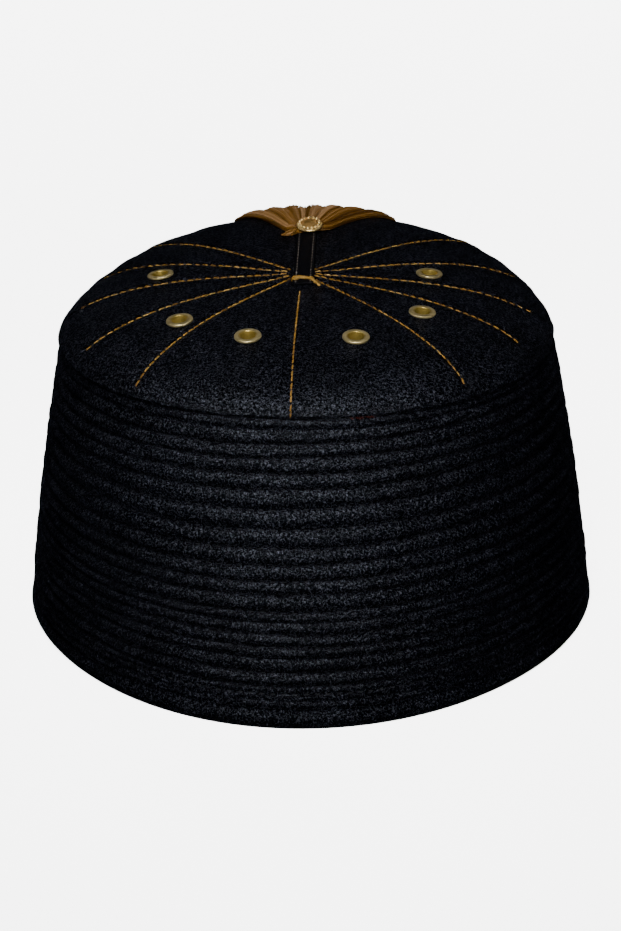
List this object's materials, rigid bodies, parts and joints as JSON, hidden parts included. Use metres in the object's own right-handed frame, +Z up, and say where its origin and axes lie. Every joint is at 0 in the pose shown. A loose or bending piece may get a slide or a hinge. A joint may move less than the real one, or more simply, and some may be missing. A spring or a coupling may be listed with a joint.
{
  "type": "fez",
  "caption": "Tall black felt fez with a quilted side band, a gently domed stitched crown with brass eyelets, and a golden silk tassel hanging at the back.",
  "frame": {"origin": "middle of the rim, on the surface that the hat rests on", "axes": "+Z up, -Y the front of the hat, +Y the back where the tassel hangs, +X the side at the right in the front view"},
  "size_m": [0.1846, 0.2043, 0.1167],
  "materials": {
    "felt": "matte black wool felt with a fine nap",
    "tape": "smooth black woven tape",
    "brass": "polished brass, a little worn",
    "silk": "lustrous golden brown silk thread"
  },
  "bodies": {
    "root": {"side_band": "felt", "crown": "felt", "eyelet_1": "brass", "eyelet_2": "brass", "eyelet_3": "brass", "eyelet_4": "brass", "eyelet_5": "brass", "eyelet_6": "brass", "tassel_strap": "tape", "tassel_cap": "brass", "tassel": "silk"}
  },
  "joints": []
}
